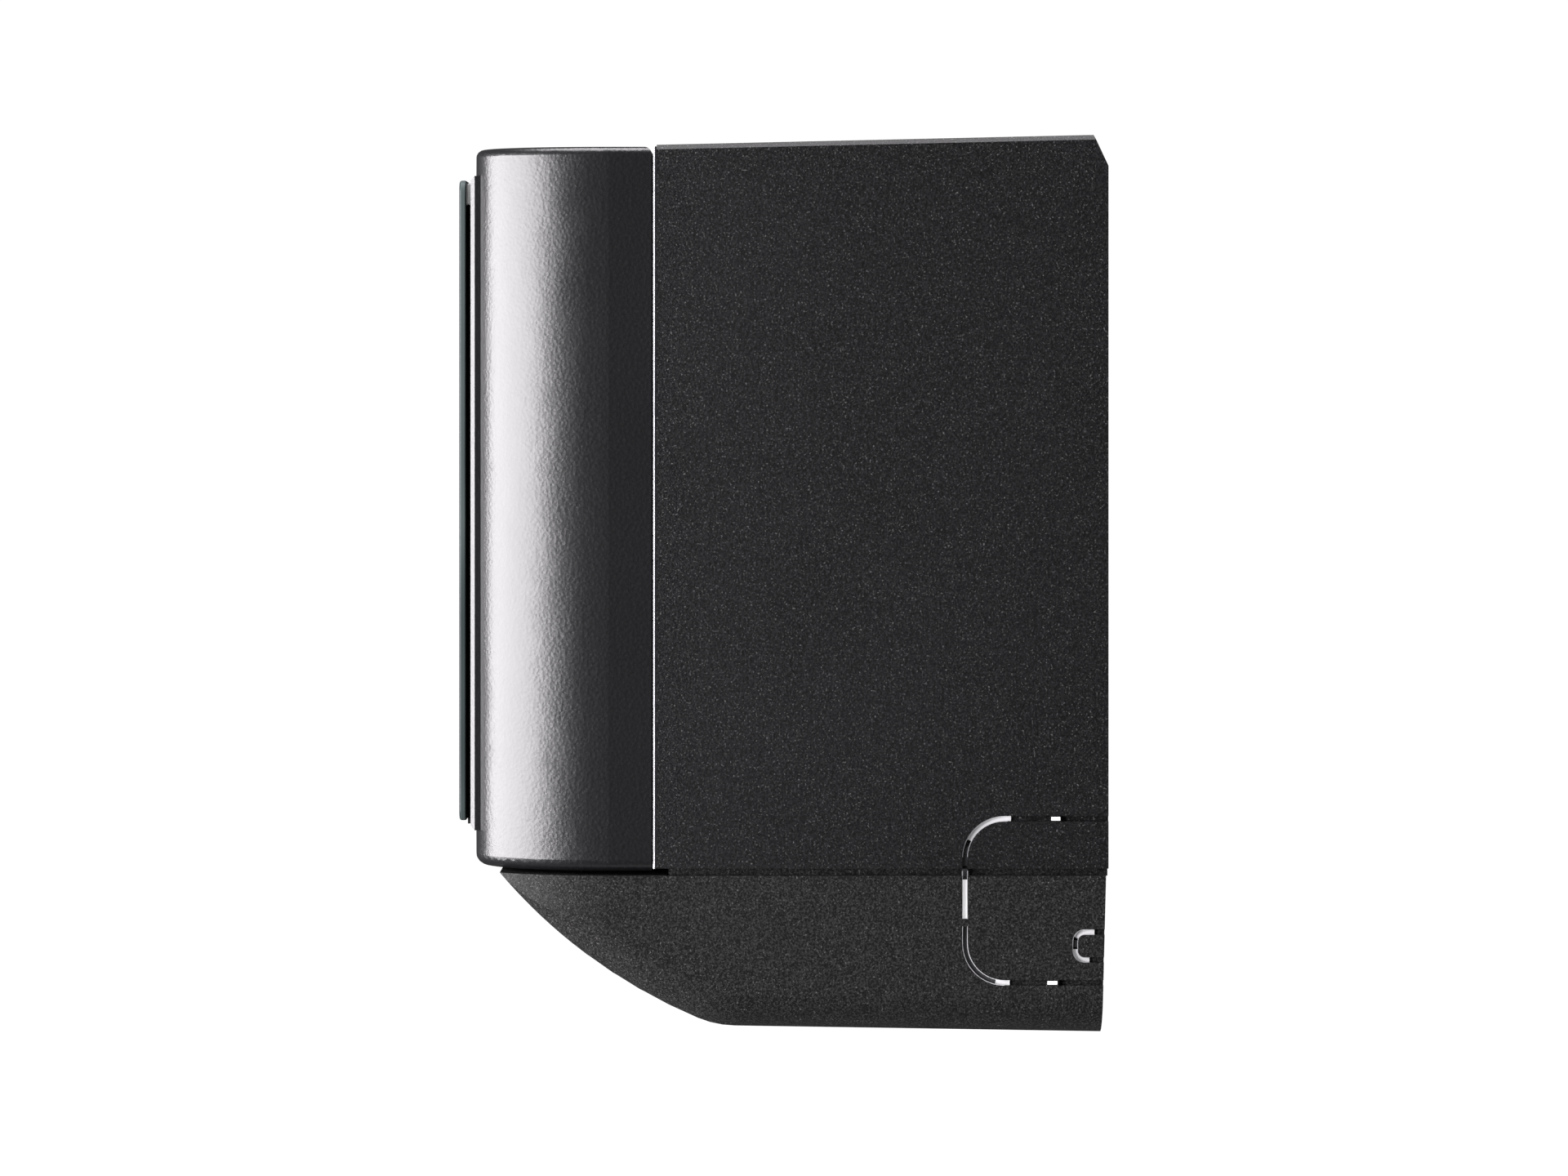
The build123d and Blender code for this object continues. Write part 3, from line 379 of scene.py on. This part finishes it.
class Recipe:  # a Geometry Nodes tree with named sizes
    def __init__(self, name, sizes):
        self.name, self.sizes, self.keys = name, sizes, {}
        self.tree = bpy.data.node_groups.new(name, "GeometryNodeTree")
        face = self.tree.interface
        face.new_socket(name="Geometry", in_out="INPUT", socket_type="NodeSocketGeometry")
        for label, value in sizes.items():
            kind = "NodeSocketInt" if isinstance(value, int) else "NodeSocketFloat"
            self.keys[label] = face.new_socket(name=label, in_out="INPUT", socket_type=kind).identifier
        face.new_socket(name="Geometry", in_out="OUTPUT", socket_type="NodeSocketGeometry")
        self.given = self.tree.nodes.new("NodeGroupInput")
        self.result = self.tree.nodes.new("NodeGroupOutput")

    def size(self, label):
        return self.given.outputs[label]

    def add(self, kind, settings=None, inputs=None, out=0):
        node = self.tree.nodes.new(kind)
        for key, value in (settings or {}).items():
            setattr(node, key, value)
        for key, value in (inputs or {}).items():
            for item in value if isinstance(value, list) else [value]:
                if isinstance(item, bpy.types.NodeSocket):
                    self.tree.links.new(item, node.inputs[key])
                else:
                    node.inputs[key].default_value = item
        return node.outputs[out]

    def math(self, operation, first, second=0.0):
        return self.add("ShaderNodeMath", {"operation": operation}, {0: first, 1: second})

    def vector(self, x=0.0, y=0.0, z=0.0):
        return self.add("ShaderNodeCombineXYZ", None, {0: x, 1: y, 2: z})

    def row(self, count, start, step):
        return self.add("GeometryNodeMeshLine", None,
                        {"Count": count, "Start Location": start, "Offset": step})

    def repeat(self, points, shape, rotation=None):
        inputs = {"Points": points, "Instance": shape}
        if rotation is not None:
            inputs["Rotation"] = rotation
        return self.add("GeometryNodeInstanceOnPoints", None, inputs)

    def bar(self, x, y, z):
        return self.add("GeometryNodeMeshCube", None, {"Size": self.vector(x, y, z)})

    def move(self, shape, place=(0, 0, 0), turn=(0, 0, 0)):
        return self.add("GeometryNodeTransform", None,
                        {"Geometry": shape, "Translation": place, "Rotation": turn})

    def join(self, *shapes):
        return self.add("GeometryNodeJoinGeometry", None, {0: list(shapes)})

    def bake(self, shape, finishName, body):
        whole = self.add("GeometryNodeRealizeInstances", None, {0: shape})
        painted = self.add("GeometryNodeSetMaterial", None, {0: whole, "Material": finishes[finishName]})
        self.tree.links.new(painted, self.result.inputs[0])
        piece = bpy.data.objects.new(self.name, bpy.data.meshes.new(self.name))
        bpy.context.scene.collection.objects.link(piece)
        modifier = piece.modifiers.new(self.name, "NODES")
        modifier.node_group = self.tree
        for label, value in self.sizes.items():
            modifier[self.keys[label]] = value
        ready = piece.evaluated_get(bpy.context.evaluated_depsgraph_get())
        mesh = bpy.data.meshes.new_from_object(ready)
        piece.modifiers.remove(modifier)
        piece.data = mesh
        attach(piece, body)
        return piece


def up(height):  # the z of a height above the casing's lowest edge, in millimetres
    return caseLow.z + height * mm


def solid(name, finishName, body, build):
    # A piece made in a bmesh by the function build, with its normals turned outwards
    work = bmesh.new()
    build(work)
    bmesh.ops.remove_doubles(work, verts=work.verts, dist=0.000001)
    bmesh.ops.recalc_face_normals(work, faces=work.faces)
    mesh = bpy.data.meshes.new(name)
    work.to_mesh(mesh)
    work.free()
    mesh.materials.append(finishes[finishName])
    piece = bpy.data.objects.new(name, mesh)
    bpy.context.scene.collection.objects.link(piece)
    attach(piece, body)
    return piece


def loft(work, rings, closed=False):
    # Skin a list of equal rings of points; the ends are capped unless the loft is closed
    loops = [[work.verts.new(point) for point in ring] for ring in rings]
    count = len(loops[0])
    pairs = list(zip(loops, loops[1:])) + ([(loops[-1], loops[0])] if closed else [])
    for first, second in pairs:
        for i in range(count):
            work.faces.new((first[i], first[(i + 1) % count], second[(i + 1) % count], second[i]))
    if not closed:
        work.faces.new(loops[0])
        work.faces.new(loops[-1])


# Cross-flow fan

fan = {
    "bladeCount": 35, "sections": 8, "length": 0.666, "radius": 0.0478,
    "chordRadius": 0.0072, "bladeThickness": 0.0009, "discThickness": 0.0026,
    "startX": -0.378, "centreY": -0.100, "centreHeight": 120.0,
    "arcSteps": 7, "arcStart": 35, "arcSweep": 85, "bladeInset": 0.0042, "bladeOffset": -0.0045,
    "discSides": 64,
}


def makeFan():
    recipe = Recipe("fanBlades", {key: fan[key] for key in
                                  ("bladeCount", "sections", "length", "radius", "chordRadius",
                                   "bladeThickness", "discThickness")})
    pitch = recipe.math("DIVIDE", recipe.size("length"), recipe.size("sections"))
    arc = recipe.add("GeometryNodeCurveArc", None,
                     {"Resolution": fan["arcSteps"], "Radius": recipe.size("chordRadius"),
                      "Start Angle": radians(fan["arcStart"]), "Sweep Angle": radians(fan["arcSweep"])})
    plate = recipe.add("GeometryNodeCurvePrimitiveQuadrilateral", None,
                       {"Width": recipe.size("bladeThickness"), "Height": pitch})
    blade = recipe.add("GeometryNodeCurveToMesh", None,
                       {"Curve": arc, "Profile Curve": plate, "Fill Caps": True})
    blade = recipe.move(blade, turn=(0, radians(90), 0))
    rise = recipe.math("SUBTRACT", recipe.size("radius"), fan["bladeInset"])
    blade = recipe.move(blade, place=recipe.vector(0.0, fan["bladeOffset"], rise))
    step = recipe.math("DIVIDE", 2 * pi, recipe.size("bladeCount"))
    angle = recipe.math("MULTIPLY", recipe.add("GeometryNodeInputIndex"), step)
    spokes = recipe.row(recipe.size("bladeCount"), (0, 0, 0), (0, 0, 0))
    ring = recipe.repeat(spokes, blade, recipe.vector(angle))
    middle = recipe.math("MULTIPLY", pitch, 0.5)
    along = recipe.row(recipe.size("sections"), recipe.vector(middle), recipe.vector(pitch))
    rings = recipe.repeat(along, ring)
    disc = recipe.add("GeometryNodeMeshCylinder", None,
                      {"Vertices": fan["discSides"], "Radius": recipe.size("radius"),
                       "Depth": recipe.size("discThickness")})
    disc = recipe.move(disc, turn=(0, radians(90), 0))
    count = recipe.math("ADD", recipe.size("sections"), 1.0)
    inside = recipe.math("SUBTRACT", recipe.size("length"), recipe.size("discThickness"))
    discStep = recipe.math("DIVIDE", inside, recipe.size("sections"))
    half = recipe.math("MULTIPLY", recipe.size("discThickness"), 0.5)
    discs = recipe.repeat(recipe.row(count, recipe.vector(half), recipe.vector(discStep)), disc)
    whole = recipe.move(recipe.join(rings, discs),
                        place=(fan["startX"], fan["centreY"], up(fan["centreHeight"])))
    piece = recipe.bake(whole, "fan", "fan")
    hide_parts("cross_flow_fan")


makeFan()
print("fan bladed")


# Coil fins and tubes

coil = {
    "finPitch": 0.0016, "finThickness": 0.00016, "depth": 0.025,
    "startX": -0.380, "endX": 0.290, "tubeRadius": 0.0034, "tubePitch": 21.0, "rowGap": 12.5,
    "tubeSides": 16, "endGap": 0.001,
}
# start and end of each block's centre line, as (y, height) in millimetres
coilBlocks = {
    "front": ((-177.5, 122.0), (-177.5, 187.0)),
    "upper": ((-176.0, 200.0), (-118.0, 262.0)),
    "rear": ((-42.0, 172.0), (-94.0, 262.0)),
}


def makeFins(block, start, end):
    rise, run = end[1] - start[1], end[0] - start[0]
    length = sqrt(rise * rise + run * run)
    lean = atan2(-run, rise)
    middle = ((start[0] + end[0]) / 2 * mm, up((start[1] + end[1]) / 2))
    width = coil["endX"] - coil["startX"]
    fins = Recipe(block + "Fins", {"count": int(width / coil["finPitch"]), "pitch": coil["finPitch"],
                                   "thickness": coil["finThickness"], "depth": coil["depth"],
                                   "length": length * mm})
    plate = fins.bar(fins.size("thickness"), fins.size("depth"), fins.size("length"))
    places = fins.row(fins.size("count"), (coil["startX"] + coil["endGap"], 0, 0),
                      fins.vector(fins.size("pitch")))
    stack = fins.move(fins.repeat(places, plate), place=(0, *middle), turn=(lean, 0, 0))
    piece = fins.bake(stack, "fins", "root")
    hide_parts("evaporator_" + block)
    perRow = max(2, int(length // coil["tubePitch"]))
    tubes = Recipe(block + "Tubes", {"perRow": perRow, "pitch": length / perRow * mm,
                                     "radius": coil["tubeRadius"], "length": width})
    tube = tubes.add("GeometryNodeMeshCylinder", None,
                     {"Vertices": coil["tubeSides"], "Radius": tubes.size("radius"),
                      "Depth": tubes.size("length")})
    tube = tubes.move(tube, turn=(0, radians(90), 0))
    first = -length / 2 * mm * (1 - 1 / perRow)
    step = tubes.vector(0.0, 0.0, tubes.size("pitch"))
    rows = [tubes.repeat(tubes.row(tubes.size("perRow"), (0, side * coil["rowGap"] / 2 * mm, first), step),
                         tube) for side in (-1, 1)]
    centreX = (coil["startX"] + coil["endX"]) / 2
    bundle = tubes.move(tubes.join(*rows), place=(centreX, *middle), turn=(lean, 0, 0))
    tubes.bake(bundle, "copper", "root")


for block, (start, end) in coilBlocks.items():
    makeFins(block, start, end)
print("coil finned")


# Filter gauze

gauze = {"pitch": 0.0024, "thread": 0.00034, "edge": 0.004, "lift": 0.0011}


def makeGauze(side):
    low, high = (Vector(corner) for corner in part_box("filter_" + side))
    width, depth = high.x - low.x - 2 * gauze["edge"], high.y - low.y - 2 * gauze["edge"]
    recipe = Recipe("gauze" + side.capitalize(),
                    {"across": int(width / gauze["pitch"]), "along": int(depth / gauze["pitch"]),
                     "pitch": gauze["pitch"], "thread": gauze["thread"], "width": width, "depth": depth})
    thread = recipe.size("thread")
    start = Vector((low.x + gauze["edge"], low.y + gauze["edge"], low.z + gauze["lift"]))
    short = recipe.repeat(recipe.row(recipe.size("across"), (start.x, start.y + depth / 2, start.z),
                                     recipe.vector(recipe.size("pitch"))),
                          recipe.bar(thread, recipe.size("depth"), thread))
    long = recipe.repeat(recipe.row(recipe.size("along"), (start.x + width / 2, start.y, start.z),
                                    recipe.vector(0.0, recipe.size("pitch"))),
                         recipe.bar(recipe.size("width"), thread, thread))
    piece = recipe.bake(recipe.join(short, long), "filter", "filter_" + side)


for side in ("left", "right"):
    makeGauze(side)
print("filters meshed")


# Knock-out webs and groove edges: the pale and white webs and the nubs are painted light through the slots,
# and the bright edges are painted highlights

knock = {
    "left": -47.0, "low": 17.3, "high": 71.0, "radius": 12.9,   # centre line of the groove, mm
    "grooveWidth": 1.8, "grooveDepth": 1.5,
    "webRise": 0.55, "edgeRadius": 0.13,
    # stretches along the groove, from the wall along the top: start, stop, finish
    "webs": [(31.9, 48.3, "webPale"), (50.2, 57.0, "webGrey"), (58.0, 61.4, "webGrey"),
             (61.5, 74.2, "webWhite"), (75.9, 86.0, "webGrey"), (86.0, 99.5, "webGrey"),
             (99.6, 104.3, "webPale")],
    "edges": [(33.0, 54.0), (58.5, 74.3), (75.8, 102.5)],
    "nubs": [(-17.3, 71.0, 3.3), (-18.4, 17.3, 3.6)],
}
cableKnock = {
    "left": -10.9, "low": 24.8, "high": 33.9, "radius": 3.0, "grooveWidth": 1.8, "grooveDepth": 1.5,
    "webRise": 0.7, "edgeRadius": 0.12,
    "webs": [(4.6, 11.4, "webPale"), (12.4, 14.6, "webGrey"), (15.3, 22.1, "webPale")],
    "edges": [(4.6, 22.1)], "nubs": [],
}


# how webs, painted edge highlights and nubs sit in a groove, in millimetres
grooveFit = {"step": 1.2, "sideGap": 0.06, "floorGap": 0.02, "edgeFloor": 0.45, "edgeTop": 0.04,
             "edgeShare": 0.4, "nubSunk": 0.27, "nubThick": 0.6, "nubHigh": 1.5, "nubRound": 0.18}


def groovePoint(settings, distance, offset=0.0):
    # A point of the groove's line as (y, height), and offset to its outer side
    left, low, high, radius = (settings[key] for key in ("left", "low", "high", "radius"))
    straight, corner = -(left + radius), pi / 2 * radius
    upright = high - low - 2 * radius
    if distance < straight:
        return -distance, high + offset
    distance -= straight
    if distance < corner:
        turn = pi / 2 + distance / radius
        return left + radius + (radius + offset) * cos(turn), high - radius + (radius + offset) * sin(turn)
    distance -= corner
    if distance < upright:
        return left - offset, high - radius - distance
    distance -= upright
    if distance < corner:
        turn = pi + distance / radius
        return left + radius + (radius + offset) * cos(turn), low + radius + (radius + offset) * sin(turn)
    return left + radius + distance - corner, low - offset


def grooveStrip(work, settings, start, stop, end, inner, outer, floor, top):
    # A strip that follows the groove between two offsets and two depths
    face = caseHigh.x
    steps = max(2, ceil((stop - start) / grooveFit["step"]))
    rings = []
    for i in range(steps + 1):
        distance = start + (stop - start) * i / steps
        ring = []
        for offset, depth in ((inner, floor), (inner, top), (outer, top), (outer, floor)):
            y, height = groovePoint(settings, distance, offset)
            ring.append((end * (face - depth * mm), y * mm, up(height)))
        rings.append(ring)
    loft(work, rings)


def makeKnock(name, settings):
    half = settings["grooveWidth"] / 2
    for finishName in ("webPale", "webGrey", "webWhite"):
        runs = [web for web in settings["webs"] if web[2] == finishName]
        if not runs:
            continue

        # the pale and white webs are painted light through the slots
        def webs(work):
            for end in (-1, 1):
                for start, stop, _ in runs:
                    grooveStrip(work, settings, start, stop, end, grooveFit["sideGap"] - half,
                                half - grooveFit["sideGap"],
                                settings["grooveDepth"] - grooveFit["floorGap"],
                                settings["grooveDepth"] - settings["webRise"])
        solid(name + finishName.capitalize(), finishName, "root", webs)

    # painted highlights: pale strips along both edges of each groove
    def edges(work):
        size = settings["edgeRadius"]
        for end in (-1, 1):
            for start, stop in settings["edges"]:
                for side in (-1, 1):
                    place = side * (half - size * grooveFit["edgeShare"])
                    grooveStrip(work, settings, start, stop, end, place - size, place + size,
                                grooveFit["edgeFloor"], grooveFit["edgeTop"])
    solid(name + "Edges", "paintedEdgeHighlight", "root", edges)
    if settings["nubs"]:
        # the nubs take the glowing white finish: painted light
        def nubs(work):
            for end in (-1, 1):
                for y, height, length in settings["nubs"]:
                    middle = Vector((end * (caseHigh.x - grooveFit["nubSunk"] * mm), y * mm, up(height)))
                    shape = Matrix.Diagonal((grooveFit["nubThick"] * mm, length * mm,
                                             grooveFit["nubHigh"] * mm, 1))
                    bmesh.ops.create_cube(work, size=1, matrix=Matrix.Translation(middle) @ shape)
            bmesh.ops.bevel(work, geom=work.edges[:], offset=grooveFit["nubRound"] * mm, segments=2,
                            affect="EDGES")
        solid(name + "Nubs", "webWhite", "root", nubs)


makeKnock("pipeKnock", knock)
makeKnock("cableKnock", cableKnock)
print("knock-outs dressed")


# Bright trim bead

bead = {"bulge": 0.55, "steps": 10, "thickness": 0.005}


def makeTrim():
    low, high = (Vector(corner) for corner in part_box("trim_strips"))
    depth = caseHigh.x - bead["thickness"]

    def build(work):
        for end in (-1, 1):
            outline = [(end * depth, low.y), (end * depth, high.y)]
            for i in range(bead["steps"] + 1):
                turn = pi * i / bead["steps"]
                across = (low.y + high.y) / 2 + (high.y - low.y) / 2 * cos(turn)
                proud = caseHigh.x - bead["bulge"] * mm * (1 - sin(turn))
                outline.append((end * proud, across))
            loft(work, [[(x, y, z) for x, y in outline] for z in (low.z, high.z)])
    piece = solid("trimBead", "trim", "root", build)
    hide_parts("trim_strips")


makeTrim()
print("trim laid")


# Pale glowing strips at the panel ends above the foam tape: painted light for the bright band in the gap

glowStrip = {"high": 280.3, "inner": 396.0, "outer": 403.0, "clear": 0.12, "gap": 0.0002, "round": 0.3}


def makeGlowStrips():
    tapeLow, tapeHigh = (Vector(corner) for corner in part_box("fascia_tape"))

    def build(work):
        for end in (-1, 1):
            low = Vector((end * glowStrip["inner"] * mm, tapeLow.y + glowStrip["clear"] * mm,
                          tapeHigh.z + glowStrip["gap"]))
            high = Vector((end * glowStrip["outer"] * mm, tapeHigh.y - glowStrip["clear"] * mm,
                           up(glowStrip["high"])))
            size = high - low
            shape = Matrix.Diagonal((abs(size.x), size.y, size.z, 1))
            bmesh.ops.create_cube(work, size=1, matrix=Matrix.Translation((low + high) / 2) @ shape)
        bmesh.ops.bevel(work, geom=work.edges[:], offset=glowStrip["round"] * mm, segments=3, affect="EDGES")
    solid("glowStripEnds", "webPale", "panel", build)


makeGlowStrips()


# Parts on the display board

boardParts = {
    "spacing": 0.0085, "smallest": 0.5, "largest": 1.25, "clear": 0.006, "seed": 7, "faceDepth": 0.0016,
    # finish, size, what is added to the seed, share of the places that are filled
    "kinds": [("chip", (0.0052, 0.0016, 0.0036), 0, 0.34), ("box", (0.0040, 0.0034, 0.0030), 5, 0.20),
              ("steel", (0.0018, 0.0008, 0.0012), 9, 0.45)],
}


def dressBoard(board):
    # A seeded scatter of chips, capacitors and connectors over the room side of a board
    low, high = (Vector(corner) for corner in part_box(board))
    edge = boardParts["clear"]
    across, upward = high.x - low.x - 2 * edge, high.z - low.z - 2 * edge
    columns = max(2, int(across / boardParts["spacing"]))
    lines = max(2, int(upward / boardParts["spacing"]))
    middle = (low + high) / 2
    for finishName, shape, seed, keep in boardParts["kinds"]:
        recipe = Recipe(board.replace("_", "") + finishName.capitalize(),
                        {"across": across, "upward": upward, "columns": columns, "lines": lines,
                         "keep": keep, "seed": boardParts["seed"] + seed})
        grid = recipe.add("GeometryNodeMeshGrid", None,
                          {"Size X": recipe.size("across"), "Size Y": recipe.size("upward"),
                           "Vertices X": recipe.size("columns"), "Vertices Y": recipe.size("lines")})
        chosen = recipe.add("FunctionNodeRandomValue", {"data_type": "BOOLEAN"},
                            {"Probability": recipe.size("keep"), "Seed": recipe.size("seed")}, out=3)
        quarter = recipe.add("FunctionNodeRandomValue", {"data_type": "INT"},
                             {4: 0, 5: 1, "Seed": recipe.size("seed")}, out=2)
        turn = recipe.vector(0.0, 0.0, recipe.math("MULTIPLY", quarter, pi / 2))
        grow = recipe.add("FunctionNodeRandomValue", {"data_type": "FLOAT"},
                          {2: boardParts["smallest"], 3: boardParts["largest"],
                           "Seed": recipe.size("seed")}, out=1)
        block = recipe.bar(shape[0], shape[2], shape[1])
        block = recipe.move(block, place=(0, 0, shape[1] / 2))
        spread = recipe.add("GeometryNodeInstanceOnPoints", None,
                            {"Points": grid, "Selection": chosen, "Instance": block, "Rotation": turn,
                             "Scale": grow})
        placed = recipe.move(spread, place=(middle.x, high.y - boardParts["faceDepth"], middle.z),
                             turn=(radians(90), 0, 0))
        recipe.bake(placed, finishName, "root")


dressBoard("display_board")
print("board dressed")


# Painted shade: dark crosses for the recesses in the screw heads

cross = {"length": 0.0034, "width": 0.0007, "depth": 0.0004, "apart": 0.05}


def makeRecessShade():
    # A dark cross on each head that faces down from the flat bottom, painted shade where the recess would be
    edges = sorted({round(corner.co.x, 3) for corner in nodes["casing_screws"].data.vertices})
    low, high = (Vector(corner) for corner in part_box("casing_screws"))
    centres = [edges[0]]
    for x in edges:
        if x - centres[-1] > cross["apart"]:
            centres.append(x)
    middle = (low.y + high.y) / 2
    recipe = Recipe("screwRecessShade", {"count": len(centres), "length": cross["length"],
                                     "width": cross["width"], "depth": cross["depth"],
                                     "step": centres[1] - centres[0]})
    bars = recipe.join(recipe.bar(recipe.size("length"), recipe.size("width"), recipe.size("depth")),
                       recipe.bar(recipe.size("width"), recipe.size("length"), recipe.size("depth")))
    first = centres[0] + (high.y - low.y) / 2
    spots = recipe.row(recipe.size("count"), (first, middle, low.z), recipe.vector(recipe.size("step")))
    recipe.bake(recipe.repeat(spots, bars), "chip", "root")


makeRecessShade()
print("screws crossed")


# Stage

def paleFloor():
    # A round floor that fades into the white room at its rim
    finish = Finish("paleFloor")
    soft = finish.noise(3.0, 2.0, 0.5)
    finish.set(baseColor=finish.blend(soft, (0.60, 0.60, 0.60), (0.64, 0.64, 0.64)), roughness=0.8)
    reach = finish.add("ShaderNodeVectorMath", {"operation": "LENGTH"},
                       {0: finish.stretch((1, 1, 0))}, out=1)
    fade = finish.ramp(reach, studio["fadeFrom"], studio["floorRadius"] - 0.02)
    clear = finish.add("ShaderNodeBsdfTransparent")
    mixed = finish.add("ShaderNodeMixShader", None,
                       {0: fade, 1: Value(finish, finish.shader.outputs[0]), 2: clear})
    finish.tree.links.new(mixed.socket, finish.tree.nodes["Material Output"].inputs["Surface"])
    sheet = bmesh.new()
    bmesh.ops.create_circle(sheet, cap_ends=True, segments=96, radius=studio["floorRadius"])
    bmesh.ops.translate(sheet, verts=sheet.verts, vec=(0, 0, caseLow.z - studio["floorDrop"]))
    mesh = bpy.data.meshes.new("floor")
    sheet.to_mesh(mesh)
    sheet.free()
    floor = bpy.data.objects.new("floor", mesh)
    bpy.context.scene.collection.objects.link(floor)
    mesh.materials.append(finish.material)


def whiteRoom():
    world = bpy.data.worlds.new("whiteRoom")
    bpy.context.scene.world = world
    world.use_nodes = True
    tree = world.node_tree
    tree.nodes.clear()
    rays = tree.nodes.new("ShaderNodeLightPath")
    lit = tree.nodes.new("ShaderNodeBackground")
    seen = tree.nodes.new("ShaderNodeBackground")
    pick = tree.nodes.new("ShaderNodeMixShader")
    out = tree.nodes.new("ShaderNodeOutputWorld")
    lit.inputs["Strength"].default_value = studio["skyLight"]
    seen.inputs["Strength"].default_value = studio["skySeen"]
    for shader in (lit, seen):
        shader.inputs["Color"].default_value = (1, 1, 1, 1)
    tree.links.new(rays.outputs["Is Camera Ray"], pick.inputs[0])
    tree.links.new(lit.outputs[0], pick.inputs[1])
    tree.links.new(seen.outputs[0], pick.inputs[2])
    tree.links.new(pick.outputs[0], out.inputs["Surface"])


paleFloor()
whiteRoom()
print("stage set")
